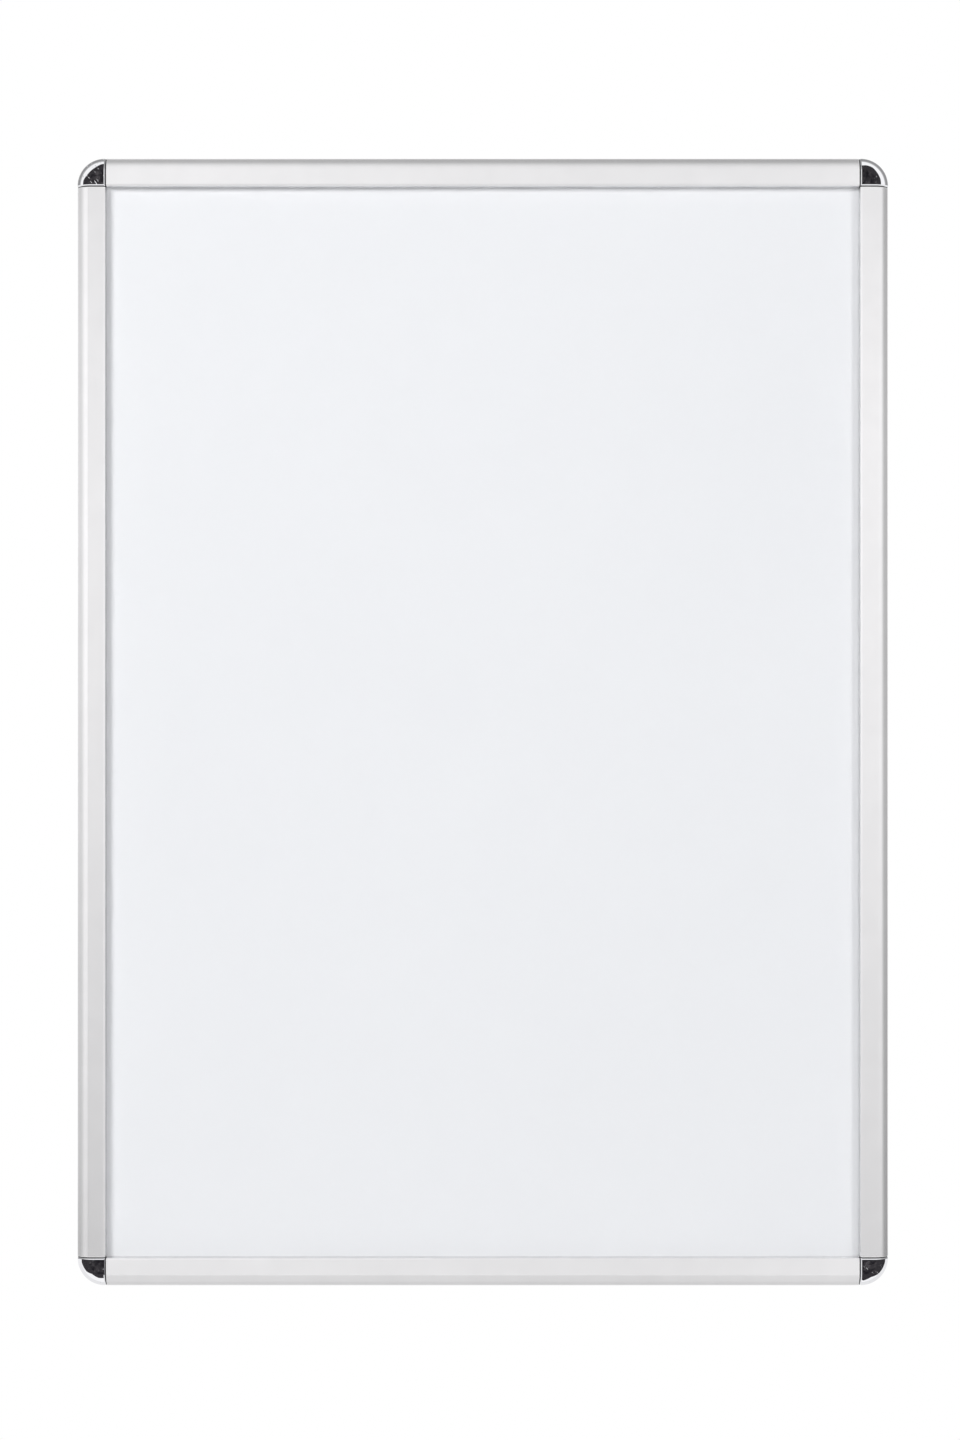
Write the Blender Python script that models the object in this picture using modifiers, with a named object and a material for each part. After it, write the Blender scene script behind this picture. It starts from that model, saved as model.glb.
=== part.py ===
"""Wall-hung snap poster frame with round chrome corners: metres, +Z up, front towards -Y, wall at y = 0."""

import math

import bmesh
import bpy
from mathutils import Matrix, Vector

# Sheet and rail. Lengths are in metres, angles in degrees.
SHEET_WIDTH = 0.841
SHEET_HEIGHT = 1.189
RAIL_WIDTH = 0.032
RAIL_DEPTH = 0.0154
HIDDEN_MARGIN = 0.0064
OPEN_ANGLE = 90.0

# Clearances, and how far a cutter runs past the face that it opens.
SEAT_GAP = 0.0004
JOINT_GAP = 0.0005
CUT_OVERRUN = 0.001

# Flap rail section.
FLAP_WALL = 0.0018
SHOULDER_WIDTH = 0.0134
LIP_ROUND = 0.0009
FRONT_ROUND = 0.0015
INNER_FILLET = 0.0008

# Hinge: a rod on the base rail held in a claw on the flap rail.
HINGE_INSET = 0.0031
HINGE_HEIGHT = 0.0056
ROD_RADIUS = 0.0017
NECK_WIDTH = 0.0014
NECK_ANGLE = 281.0
CLAW_WALL = 0.0012
CLAW_START = 6.0

# Leaf springs.
SPRING_ARM = 0.0051
SPRING_THICKNESS = 0.0006
SPRING_LENGTH = 0.064
SPRING_BOW = 0.00045
TAIL_WIDTH = 0.0018
TAIL_SETBACK = 0.0005
SHORT_RAIL_SPRINGS = 3
LONG_RAIL_SPRINGS = 4
SPRING_END_INSET = 0.115

# Base rail section.
BASE_PLATE = 0.0016
BASE_EDGE = 0.0004
LEDGE_SETBACK = 0.0013
RIB_WIDTH = 0.002
RIB_OVER_COVER = 0.00025
SPUR_WIDTH = 0.0015
SPUR_ROOF = 0.00135
SPUR_REACH = 0.0026
SEAT_BELOW_FLAP = 0.0038
WALL_HOLE_RADIUS = 0.00225
WALL_HOLE_OFFSET = 0.0006

# Sheets.
PANEL_THICKNESS = 0.0025
COVER_THICKNESS = 0.0007

# Corner caps, keys and screws.
CAP_SETBACK = 0.0004
CAP_WALL = 0.002
CAP_END_WALL = 0.0015
CAP_EDGE = 0.0007
KEY_THICKNESS = 0.0028
KEY_WIDTH = 0.0067
KEY_LEG = 0.048
SET_SCREW_RADIUS = 0.0022
SET_SCREW_LENGTH = 0.0033
SET_SCREW_FROM_END = 0.013
SOCKET_RADIUS = 0.0012
SOCKET_DEPTH = 0.0017
CAP_SCREW_RADIUS = 0.0017
CAP_SCREW_REACH = 0.0051
SCREW_HEAD_RADIUS = 0.0033
SCREW_HEAD_HEIGHT = 0.0014
SCREW_POINT = 0.0004
SLOT_WIDTH = 0.0008
BOSS_WALL = 0.0013

# Derived sizes.
FRAME_WIDTH = SHEET_WIDTH + 2 * (RAIL_WIDTH - HIDDEN_MARGIN)
FRAME_HEIGHT = SHEET_HEIGHT + 2 * (RAIL_WIDTH - HIDDEN_MARGIN)
TOP_RAIL_LENGTH = FRAME_WIDTH - 2 * RAIL_WIDTH - 2 * JOINT_GAP
SIDE_RAIL_LENGTH = FRAME_HEIGHT - 2 * RAIL_WIDTH - 2 * JOINT_GAP
SHOULDER_HEIGHT = RAIL_DEPTH - HINGE_HEIGHT
CLAW_RADIUS = ROD_RADIUS + SEAT_GAP
CLAW_OUTER = CLAW_RADIUS + CLAW_WALL
PANEL_BACK = BASE_PLATE + SEAT_GAP
COVER_BACK = PANEL_BACK + PANEL_THICKNESS + SEAT_GAP
COVER_FRONT = COVER_BACK + COVER_THICKNESS
LIP_BACK = COVER_FRONT + SEAT_GAP
RIB_INNER = RAIL_WIDTH - HIDDEN_MARGIN
RIB_OUTER = RIB_INNER - RIB_WIDTH
RIB_TOP = COVER_FRONT + RIB_OVER_COVER
KEY_INNER = RIB_OUTER - SEAT_GAP
KEY_OUTER = KEY_INNER - KEY_WIDTH
SPUR_INNER = KEY_OUTER - SEAT_GAP
SPUR_OUTER = SPUR_INNER - SPUR_WIDTH
SEAT_INSET = SPUR_OUTER - SEAT_GAP
HINGE = Vector((HINGE_INSET, HINGE_HEIGHT))
SEAT = Vector((SEAT_INSET, RAIL_DEPTH - FLAP_WALL - SEAT_BELOW_FLAP))
SEAT_RADIUS = SPRING_THICKNESS / 2 + SEAT_GAP
WALL_HOLE_INSET = SPUR_OUTER - WALL_HOLE_OFFSET - WALL_HOLE_RADIUS
KEY_BACK = BASE_PLATE + SEAT_GAP
KEY_FRONT = KEY_BACK + KEY_THICKNESS
KEY_RING_OUTER = RAIL_WIDTH - KEY_OUTER
KEY_RING_INNER = RAIL_WIDTH - KEY_INNER
KEY_MIDDLE = (KEY_RING_OUTER + KEY_RING_INNER) / 2
CAP_RADIUS = RAIL_WIDTH - CAP_SETBACK
BOSS_HOLE = CAP_SCREW_RADIUS + SEAT_GAP
BOSS_RADIUS = BOSS_HOLE + BOSS_WALL
TAIL_ANGLE = math.degrees(math.atan2((SEAT - HINGE).y, (SEAT - HINGE).x)) - OPEN_ANGLE / 2

for stale in list(bpy.data.objects):
    bpy.data.objects.remove(stale, do_unlink=True)

parts = bpy.data.collections.new("snap_poster_frame")
cutters = bpy.data.collections.new("cutters")
bpy.context.scene.collection.children.link(parts)
bpy.context.scene.collection.children.link(cutters)


def make_material(name, colour, metallic, roughness):
    material = bpy.data.materials.new(name)
    material.use_nodes = True
    shader = material.node_tree.nodes["Principled BSDF"]
    shader.inputs["Base Color"].default_value = (*colour, 1.0)
    shader.inputs["Metallic"].default_value = metallic
    shader.inputs["Roughness"].default_value = roughness
    return material


aluminium = make_material("satin_aluminium", (0.80, 0.81, 0.83), 1.0, 0.35)
mill_aluminium = make_material("mill_aluminium", (0.70, 0.71, 0.72), 1.0, 0.45)
chrome = make_material("chrome", (0.75, 0.76, 0.78), 1.0, 0.06)
spring_steel = make_material("spring_steel", (0.55, 0.56, 0.58), 1.0, 0.3)
zinc_steel = make_material("zinc_steel", (0.60, 0.61, 0.62), 1.0, 0.4)
white_plastic = make_material("white_plastic", (0.86, 0.87, 0.90), 0.0, 0.5)
clear_plastic = make_material("clear_plastic", (0.95, 0.96, 0.98), 0.0, 0.12)


def polar(centre, radius, degrees):
    angle = math.radians(degrees)
    return (centre[0] + radius * math.cos(angle), centre[1] + radius * math.sin(angle))


def arc(centre, radius, start, end, count):
    return [polar(centre, radius, start + (end - start) * i / count) for i in range(count + 1)]


def shoulder(inset, start, end, count):
    """Points on the quarter ellipse of the rounded outer shoulder, moved in by a wall."""
    across = SHOULDER_WIDTH - inset
    up = SHOULDER_HEIGHT - inset
    points = []
    for i in range(count + 1):
        t = math.radians(start + (end - start) * i / count)
        points.append((SHOULDER_WIDTH - across * math.cos(t), HINGE_HEIGHT + up * math.sin(t)))
    return points


def smooth(thing, degrees=35.0):
    thing.data.shade_smooth()
    thing.data.set_sharp_from_angle(angle=math.radians(degrees))


def add_mesh(name, mesh, matrix, material, cutter=False):
    thing = bpy.data.objects.new(name, mesh)
    thing.matrix_world = matrix
    if cutter:
        cutters.objects.link(thing)
        thing.hide_render = True
        thing.display_type = "WIRE"
    else:
        parts.objects.link(thing)
        mesh.materials.append(material)
        smooth(thing)
    return thing


def prism(name, outlines, thickness, matrix, material, cutter=False):
    """A flat outline, with any holes as further outlines, made as thick as given about its own plane."""
    curve = bpy.data.curves.new(name + "_outline", "CURVE")
    curve.dimensions = "2D"
    curve.fill_mode = "BOTH"
    curve.extrude = thickness / 2
    for outline in outlines:
        spline = curve.splines.new("POLY")
        spline.points.add(len(outline) - 1)
        for point, (x, y) in zip(spline.points, outline):
            point.co = (x, y, 0.0, 1.0)
        spline.use_cyclic_u = True
    holder = bpy.data.objects.new(name + "_outline", curve)
    parts.objects.link(holder)
    bpy.context.view_layer.update()
    mesh = bpy.data.meshes.new_from_object(holder)
    bpy.data.objects.remove(holder, do_unlink=True)
    work = bmesh.new()
    work.from_mesh(mesh)
    bmesh.ops.remove_doubles(work, verts=work.verts, dist=1e-6)
    bmesh.ops.recalc_face_normals(work, faces=work.faces)
    work.to_mesh(mesh)
    work.free()
    return add_mesh(name, mesh, matrix, material, cutter)


def quarter_turn(name, profile, matrix, material, steps, cutter=False):
    """A closed profile of (radius, height) points swept a quarter turn about the local Z axis."""
    mesh = bpy.data.meshes.new(name)
    work = bmesh.new()
    face = work.faces.new([work.verts.new((r, 0.0, z)) for r, z in profile])
    ring = list(face.verts) + list(face.edges) + [face]
    bmesh.ops.spin(
        work,
        geom=ring,
        cent=(0.0, 0.0, 0.0),
        axis=(0.0, 0.0, 1.0),
        angle=math.radians(90.0),
        steps=steps,
        use_duplicate=False,
    )
    bmesh.ops.remove_doubles(work, verts=work.verts, dist=1e-6)
    bmesh.ops.dissolve_degenerate(work, edges=work.edges, dist=1e-7)
    bmesh.ops.recalc_face_normals(work, faces=work.faces)
    work.to_mesh(mesh)
    work.free()
    return add_mesh(name, mesh, matrix, material, cutter)


def turned(name, profile, matrix, material, steps):
    """A profile of (radius, height) points, running from the top down, turned once round the local Z axis."""
    mesh = bpy.data.meshes.new(name)
    points = [(r, 0.0, z) for r, z in profile]
    mesh.from_pydata(points, [(i, i + 1) for i in range(len(points) - 1)], [])
    thing = bpy.data.objects.new(name, mesh)
    thing.matrix_world = matrix
    parts.objects.link(thing)
    mesh.materials.append(material)
    screw = thing.modifiers.new("turn", "SCREW")
    screw.axis = "Z"
    screw.steps = steps
    screw.render_steps = steps
    screw.use_merge_vertices = True
    screw.merge_threshold = 1e-6
    screw.use_smooth_shade = True
    return thing


def cylinder(name, radius, low, high, matrix, sides=32, cutter=True, material=None):
    mesh = bpy.data.meshes.new(name)
    work = bmesh.new()
    bmesh.ops.create_cone(
        work,
        cap_ends=True,
        segments=sides,
        radius1=radius,
        radius2=radius,
        depth=(high - low),
        matrix=Matrix.Translation((0.0, 0.0, (low + high) / 2)),
    )
    work.to_mesh(mesh)
    work.free()
    return add_mesh(name, mesh, matrix, material, cutter)


def box(name, low, high, matrix, material=None, cutter=True):
    mesh = bpy.data.meshes.new(name)
    work = bmesh.new()
    centre = [(a + b) / 2 for a, b in zip(low, high)]
    size = [(b - a) for a, b in zip(low, high)]
    bmesh.ops.create_cube(work, size=1.0, matrix=Matrix.Translation(centre) @ Matrix.Diagonal((*size, 1.0)))
    work.to_mesh(mesh)
    work.free()
    return add_mesh(name, mesh, matrix, material, cutter)


def combine(thing, cutter, operation):
    boolean = thing.modifiers.new(cutter.name, "BOOLEAN")
    boolean.operation = operation
    boolean.solver = "EXACT"
    boolean.object = cutter


def placed(x_axis, y_axis, z_axis, origin):
    matrix = Matrix((x_axis, y_axis, z_axis)).transposed().to_4x4()
    matrix.translation = Vector(origin)
    return matrix


def relative(points, origin):
    return [(x - origin[0], y - origin[1]) for x, y in points]


FORWARD = Vector((0.0, -1.0, 0.0))


class Side:
    """One side of the frame: a section point (u in from the outer edge, v off the wall) set in the world."""

    def __init__(self, name, inward, edge, length, springs):
        self.name = name
        self.inward = Vector(inward)
        self.along = self.inward.cross(FORWARD)
        self.edge = Vector(edge)
        self.length = length
        self.springs = springs

    def at(self, section, offset=0.0):
        origin = self.edge + self.inward * section[0] + FORWARD * section[1] + self.along * offset
        return placed(self.inward, FORWARD, self.along, origin)


SIDES = [
    Side("top", (0, 0, -1), (0, 0, FRAME_HEIGHT / 2), TOP_RAIL_LENGTH, SHORT_RAIL_SPRINGS),
    Side("bottom", (0, 0, 1), (0, 0, -FRAME_HEIGHT / 2), TOP_RAIL_LENGTH, SHORT_RAIL_SPRINGS),
    Side("left", (1, 0, 0), (-FRAME_WIDTH / 2, 0, 0), SIDE_RAIL_LENGTH, LONG_RAIL_SPRINGS),
    Side("right", (-1, 0, 0), (FRAME_WIDTH / 2, 0, 0), SIDE_RAIL_LENGTH, LONG_RAIL_SPRINGS),
]


def base_section():
    half_neck = NECK_WIDTH / 2
    neck_spread = math.degrees(math.asin(half_neck / ROD_RADIUS))
    down = Vector(polar((0, 0), 1.0, NECK_ANGLE))
    across = Vector((-down.y, down.x))
    feet = []
    for sign in (1, -1):
        start = HINGE + across * half_neck * sign
        reach = (start.y - BASE_PLATE) / -down.y
        feet.append(start + down * reach)
    notch_end = -math.degrees(math.acos(SEAT_GAP / SEAT_RADIUS))
    ledge = RAIL_WIDTH - LEDGE_SETBACK
    roof = SEAT.y + SEAT_RADIUS + SPUR_ROOF
    reach = SPUR_INNER - SPUR_REACH
    points = [(BASE_EDGE, 0.0), (ledge - BASE_EDGE, 0.0), (ledge, BASE_EDGE), (ledge, BASE_PLATE - BASE_EDGE)]
    points += [(ledge - BASE_EDGE, BASE_PLATE), (RIB_INNER, BASE_PLATE), (RIB_INNER, RIB_TOP - BASE_EDGE)]
    points += [(RIB_INNER - BASE_EDGE, RIB_TOP), (RIB_OUTER + BASE_EDGE, RIB_TOP)]
    points += [(RIB_OUTER, RIB_TOP - BASE_EDGE), (RIB_OUTER, BASE_PLATE), (SPUR_INNER, BASE_PLATE)]
    points += [(SPUR_INNER, roof - BASE_EDGE), (SPUR_INNER - BASE_EDGE, roof), (reach + BASE_EDGE, roof)]
    points += [(reach, roof - BASE_EDGE), (reach, SEAT.y + SEAT_RADIUS)]
    points += arc(SEAT, SEAT_RADIUS, 90.0, notch_end, 8)
    points += [(SPUR_OUTER, BASE_PLATE), tuple(feet[0])]
    points += arc(HINGE, ROD_RADIUS, NECK_ANGLE + neck_spread, NECK_ANGLE + 360.0 - neck_spread, 22)
    points += [tuple(feet[1]), (BASE_EDGE, BASE_PLATE), (0.0, BASE_PLATE - BASE_EDGE), (0.0, BASE_EDGE)]
    return points


def flap_section():
    front = RAIL_WIDTH
    under = RAIL_DEPTH - FLAP_WALL
    lip = front - 2 * LIP_ROUND
    half_tail = TAIL_WIDTH / 2
    along = Vector(polar((0, 0), 1.0, TAIL_ANGLE))
    across = Vector((-along.y, along.x))
    low, high = 0.0, 90.0
    for _ in range(40):
        middle = (low + high) / 2
        point = Vector(shoulder(FLAP_WALL, middle, middle, 1)[0])
        if (point - HINGE).length < CLAW_OUTER:
            low = middle
        else:
            high = middle
    meet = Vector(shoulder(FLAP_WALL, high, high, 1)[0]) - HINGE
    meet_angle = math.degrees(math.atan2(meet.y, meet.x))
    tail_end = SPRING_ARM - TAIL_SETBACK
    notch = math.degrees(math.acos(TAIL_SETBACK / SEAT_RADIUS))

    def on_tail(distance, offset):
        return tuple(HINGE + along * distance + across * offset)

    points = shoulder(0.0, CLAW_START, 90.0, 22)
    points += arc((front - FRONT_ROUND, RAIL_DEPTH - FRONT_ROUND), FRONT_ROUND, 90.0, 0.0, 5)
    points += arc((front - LIP_ROUND, LIP_BACK + LIP_ROUND), LIP_ROUND, 0.0, -180.0, 8)
    points += arc((lip - INNER_FILLET, under - INNER_FILLET), INNER_FILLET, 0.0, 90.0, 3)
    points += shoulder(FLAP_WALL, 90.0, high, 12)
    root_angle = TAIL_ANGLE + math.degrees(math.asin(half_tail / CLAW_OUTER))
    points += arc(HINGE, CLAW_OUTER, meet_angle, root_angle, 8)[1:]
    points += [on_tail(tail_end, half_tail)]
    facing = TAIL_ANGLE + 180.0
    points += arc(on_tail(SPRING_ARM, 0.0), SEAT_RADIUS, facing - notch, facing + notch, 6)
    points += [on_tail(tail_end, -half_tail)]
    start = points[0]
    claw_end = math.degrees(math.atan2(start[1] - HINGE.y, start[0] - HINGE.x))
    claw_tail = TAIL_ANGLE - math.degrees(math.asin(half_tail / CLAW_RADIUS))
    points += arc(HINGE, CLAW_RADIUS, claw_tail, claw_end, 22)
    return points


def spring_section():
    """A bowed leaf from its seat on the base rail's spur to its seat on the flap rail's tail."""
    far = Vector(polar(HINGE, SPRING_ARM, TAIL_ANGLE))
    chord = far - SEAT
    radius = (chord.length / 2) ** 2 / (2 * SPRING_BOW) + SPRING_BOW / 2
    out = Vector((chord.y, -chord.x)).normalized()
    centre = SEAT + chord / 2 - out * (radius - SPRING_BOW)
    start = math.degrees(math.atan2(SEAT.y - centre.y, SEAT.x - centre.x))
    end = math.degrees(math.atan2(far.y - centre.y, far.x - centre.x))
    if end - start > 180.0:
        end -= 360.0
    if start - end > 180.0:
        end += 360.0
    half = SPRING_THICKNESS / 2
    turn = 1.0 if end > start else -1.0
    points = arc(centre, radius + half, start, end, 10)
    points += arc(far, half, end, end + turn * 180.0, 4)[1:-1]
    points += arc(centre, radius - half, end, start, 10)
    points += arc(SEAT, half, start + 180.0, start + 180.0 + turn * 180.0, 4)[1:-1]
    return points


def spring_offsets(side):
    reach = side.length / 2 - SPRING_END_INSET
    step = 2 * reach / (side.springs - 1)
    return [-reach + step * i for i in range(side.springs)]


for side in SIDES:
    base = prism("base_rail_" + side.name, [base_section()], side.length, side.at((0, 0)), mill_aluminium)
    offsets = spring_offsets(side)
    for number, offset in enumerate(((offsets[0] + offsets[1]) / 2, (offsets[-1] + offsets[-2]) / 2)):
        spot = side.at((WALL_HOLE_INSET, 0.0), offset) @ Matrix.Rotation(math.radians(-90.0), 4, "X")
        label = "wall_hole_" + side.name + str(number + 1)
        drill = cylinder(label, WALL_HOLE_RADIUS, -CUT_OVERRUN, BASE_PLATE + CUT_OVERRUN, spot, 24)
        combine(base, drill, "DIFFERENCE")
    prism("flap_rail_" + side.name, [relative(flap_section(), HINGE)], side.length, side.at(HINGE), aluminium)
    leaf = relative(spring_section(), SEAT)
    for number, offset in enumerate(offsets):
        name = "spring_" + side.name + "_" + str(number + 1)
        prism(name, [leaf], SPRING_LENGTH, side.at(SEAT, offset), spring_steel)


def cap_profile():
    rise = [(CAP_RADIUS - u, v) for u, v in shoulder(0.0, 90.0, 0.0, 9)]
    return [(0.0, RAIL_DEPTH)] + rise + [(CAP_RADIUS, 0.0), (0.0, 0.0)]


def cavity_profile():
    inner = CAP_RADIUS - CAP_END_WALL
    rise = [(inner - u, v) for u, v in shoulder(CAP_WALL, 90.0, 0.0, 6)]
    low = LIP_BACK - CUT_OVERRUN
    return [(0.0, RAIL_DEPTH - CAP_WALL)] + rise + [(rise[-1][0], low), (0.0, low)]


def key_outline():
    """A flat angle with a round elbow, its legs running back into the two rails."""
    start = -KEY_LEG - JOINT_GAP
    points = [(KEY_RING_INNER, start), (KEY_RING_OUTER, start)]
    points += arc((0, 0), KEY_RING_OUTER, 0.0, 90.0, 12)
    points += [(start, KEY_RING_OUTER), (start, KEY_RING_INNER)]
    points += arc((0, 0), KEY_RING_INNER, 90.0, 0.0, 8)
    return points


CORNERS = [
    ("top_right", (1, 0, 0), (0, 0, 1), 1, 1),
    ("top_left", (0, 0, 1), (-1, 0, 0), -1, 1),
    ("bottom_left", (-1, 0, 0), (0, 0, -1), -1, -1),
    ("bottom_right", (0, 0, -1), (1, 0, 0), 1, -1),
]
set_screw_at = JOINT_GAP + KEY_LEG - SET_SCREW_FROM_END
boss_at = polar((0, 0), KEY_MIDDLE, 45.0)

for name, p_axis, q_axis, x_sign, z_sign in CORNERS:
    apex = (x_sign * (FRAME_WIDTH / 2 - RAIL_WIDTH), 0.0, z_sign * (FRAME_HEIGHT / 2 - RAIL_WIDTH))
    corner = placed(p_axis, q_axis, FORWARD, apex)
    boss = corner @ Matrix.Translation((boss_at[0], boss_at[1], 0.0))

    shell = corner @ Matrix.Translation((CAP_SETBACK, CAP_SETBACK, 0.0))
    cap = quarter_turn("corner_cap_" + name, cap_profile(), shell, chrome, 14)
    edge = cap.modifiers.new("edge", "BEVEL")
    edge.width = CAP_EDGE
    edge.segments = 2
    edge.limit_method = "ANGLE"
    edge.angle_limit = math.radians(60.0)
    inset = shell @ Matrix.Translation((CAP_END_WALL, CAP_END_WALL, 0.0))
    hollow = quarter_turn("cap_hollow_" + name, cavity_profile(), inset, None, 10, True)
    combine(cap, hollow, "DIFFERENCE")
    open_back = cylinder("cap_back_" + name, CAP_RADIUS - CAP_WALL, -CUT_OVERRUN, LIP_BACK, shell, 44)
    combine(cap, open_back, "DIFFERENCE")
    foot = KEY_FRONT + SEAT_GAP
    post = cylinder("cap_boss_" + name, BOSS_RADIUS, foot, RAIL_DEPTH - CAP_WALL / 2, boss, 18)
    combine(cap, post, "UNION")
    tip = KEY_FRONT + CAP_SCREW_REACH
    combine(cap, cylinder("cap_bore_" + name, BOSS_HOLE, KEY_FRONT, tip + SEAT_GAP, boss, 18), "DIFFERENCE")

    flat = corner @ Matrix.Translation((0.0, 0.0, (KEY_BACK + KEY_FRONT) / 2))
    leg_spots = [(KEY_MIDDLE, -set_screw_at), (-set_screw_at, KEY_MIDDLE)]
    holes = [arc(spot, SET_SCREW_RADIUS + SEAT_GAP, 0.0, 360.0, 14)[:-1] for spot in leg_spots]
    holes.append(arc(boss_at, BOSS_HOLE, 0.0, 360.0, 14)[:-1])
    prism("corner_key_" + name, [key_outline()] + holes, KEY_THICKNESS, flat, zinc_steel)

    for number, (p, q) in enumerate(leg_spots):
        spot = corner @ Matrix.Translation((p, q, 0.0))
        label = name + "_" + str(number + 1)
        top = KEY_BACK + SET_SCREW_LENGTH
        screw = cylinder("set_screw_" + label, SET_SCREW_RADIUS, KEY_BACK, top, spot, 20, False, zinc_steel)
        socket = cylinder("hex_" + label, SOCKET_RADIUS, top - SOCKET_DEPTH, top + CUT_OVERRUN, spot, 6)
        combine(screw, socket, "DIFFERENCE")

    seat = KEY_BACK - SEAT_GAP
    back = seat - SCREW_HEAD_HEIGHT
    profile = [(0.0, tip), (CAP_SCREW_RADIUS - SCREW_POINT, tip)]
    profile += [(CAP_SCREW_RADIUS, tip - SCREW_POINT), (CAP_SCREW_RADIUS, seat)]
    profile += [(SCREW_HEAD_RADIUS, seat), (SCREW_HEAD_RADIUS, seat - SCREW_HEAD_HEIGHT / 2)]
    profile += [(SCREW_HEAD_RADIUS * 0.75, back), (0.0, back)]
    cap_screw = turned("cap_screw_" + name, profile, boss, zinc_steel, 16)
    slot = SCREW_HEAD_RADIUS * 0.6
    half = SLOT_WIDTH / 2
    depth = back + SCREW_HEAD_HEIGHT * 0.6
    below = back - CUT_OVERRUN
    combine(cap_screw, box("slot_a_" + name, (-slot, -half, below), (slot, half, depth), boss), "DIFFERENCE")
    combine(cap_screw, box("slot_b_" + name, (-half, -slot, below), (half, slot, depth), boss), "DIFFERENCE")


def sheet(name, back, thickness, material):
    width = SHEET_WIDTH / 2 - SEAT_GAP
    height = SHEET_HEIGHT / 2 - SEAT_GAP
    upright = placed((1, 0, 0), (0, 0, 1), FORWARD, (0, 0, 0))
    box(name, (-width, -height, back), (width, height, back + thickness), upright, material, False)


sheet("back_panel", PANEL_BACK, PANEL_THICKNESS, white_plastic)
sheet("cover_sheet", COVER_BACK, COVER_THICKNESS, clear_plastic)
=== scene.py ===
"""Looks of a wall-hung snap poster frame.

Finely shaped rails and corner caps, metal and plastic finishes, the studio and the camera.
"""

import math

import bmesh
import bpy
from mathutils import Matrix, Vector


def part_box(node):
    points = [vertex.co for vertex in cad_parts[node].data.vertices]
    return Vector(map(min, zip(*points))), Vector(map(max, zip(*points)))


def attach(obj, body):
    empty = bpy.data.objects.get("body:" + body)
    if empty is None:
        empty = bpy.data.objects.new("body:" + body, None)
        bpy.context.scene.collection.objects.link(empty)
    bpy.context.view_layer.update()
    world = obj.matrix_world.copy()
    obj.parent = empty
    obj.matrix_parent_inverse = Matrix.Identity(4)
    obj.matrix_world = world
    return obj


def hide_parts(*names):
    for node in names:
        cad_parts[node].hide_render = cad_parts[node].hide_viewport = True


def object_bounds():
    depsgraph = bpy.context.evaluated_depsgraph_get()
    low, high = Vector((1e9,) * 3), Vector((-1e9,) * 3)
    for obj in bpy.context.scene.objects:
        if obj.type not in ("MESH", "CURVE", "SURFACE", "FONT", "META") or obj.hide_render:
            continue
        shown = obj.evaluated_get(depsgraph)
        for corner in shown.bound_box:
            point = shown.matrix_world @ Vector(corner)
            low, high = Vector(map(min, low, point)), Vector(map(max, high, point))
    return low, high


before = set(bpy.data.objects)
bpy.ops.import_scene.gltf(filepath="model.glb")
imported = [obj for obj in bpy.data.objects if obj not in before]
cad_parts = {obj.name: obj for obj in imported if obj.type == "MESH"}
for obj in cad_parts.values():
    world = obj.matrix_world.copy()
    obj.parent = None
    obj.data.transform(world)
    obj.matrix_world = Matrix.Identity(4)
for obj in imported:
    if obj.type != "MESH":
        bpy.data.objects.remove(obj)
cad_low, cad_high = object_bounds()

# Sizes read from the frame, in metres.
HALF_WIDTH = cad_high.x
HALF_HEIGHT = cad_high.z
DEPTH = -cad_low.y
RAIL = HALF_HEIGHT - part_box("flap_rail_top")[0].z
TOP_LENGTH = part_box("flap_rail_top")[1].x * 2
SIDE_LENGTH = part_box("flap_rail_left")[1].z * 2
COVER_FRONT = -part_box("cover_sheet")[0].y
CAP_RADIUS = HALF_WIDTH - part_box("corner_cap_top_right")[0].x
FORWARD = Vector((0.0, -1.0, 0.0))
X_AXIS = 0
Z_AXIS = 2

# Flap rail section, as the CAD has it, with a soft crease, a sloped lip and chamfered ends added.
FLAP_WALL = 0.0018
SHOULDER_WIDTH = 0.0134
CREASE_ANGLE = 73.0
LIP_ROUND = 0.0009
LIP_DRAFT = 0.0005
LIP_SLOPE = (0.0018, 0.0007)
LIP_EDGE_ROUND = 0.0004
INNER_FILLET = 0.0008
SEAT_GAP = 0.0004
HINGE = Vector((0.0031, 0.0056))
CLAW_RADIUS = 0.0021
CLAW_OUTER = 0.0033
CLAW_START = 6.0
TAIL_ANGLE = -24.27
TAIL_END = 0.0046
TAIL_WIDTH = 0.0018
TAIL_SEAT = 0.0051
TAIL_SEAT_RADIUS = 0.0007
RAIL_END_CHAMFER = 0.0007
RAIL_END_DROP = 0.00022
RAIL_SHARP = 18.0
SHOULDER_STEPS = 44
SHOULDER_INNER_STEPS = 24
LIP_EDGE_STEPS = 8
LIP_STEPS = 14
FILLET_STEPS = 6
CLAW_OUTER_STEPS = 12
CLAW_INNER_STEPS = 36
TAIL_SEAT_STEPS = 8

# Material slots of a flap rail.
SATIN_FACE = 0
SAWN_FACE = 1
CUT_FACE = 2

# Corner cap shell, and the material slot of its unplated faces.
CAP_WALL = 0.002
CAP_END_WALL = 0.0015
CAP_SIDE = 0.0002
CAP_EDGE = 0.0017
CAP_EDGE_DROP = 0.0014
CAP_EDGE_AT_RIM = 0.25
TONGUE_REACH = 0.0007
TONGUE_DROP = 0.0004
CAP_SHARP = 25.0
BOSS_AT = sum(corner.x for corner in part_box("cap_screw_top_right")) / 2 - (HALF_WIDTH - CAP_RADIUS)
BOSS_FOOT = 0.0052
BOSS_RADIUS = 0.0034
BORE_RADIUS = 0.0021
BORE_END = 0.0103
CUT_OVERRUN = 0.001
CAP_SHOULDER_STEPS = 48
CAP_TURN_STEPS = 40
HOLLOW_SHOULDER_STEPS = 12
HOLLOW_TURN_STEPS = 16
HOLLOW_FIRST_STEP = 4.5
BACK_SIDES = 88
BOSS_SIDES = 40
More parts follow.
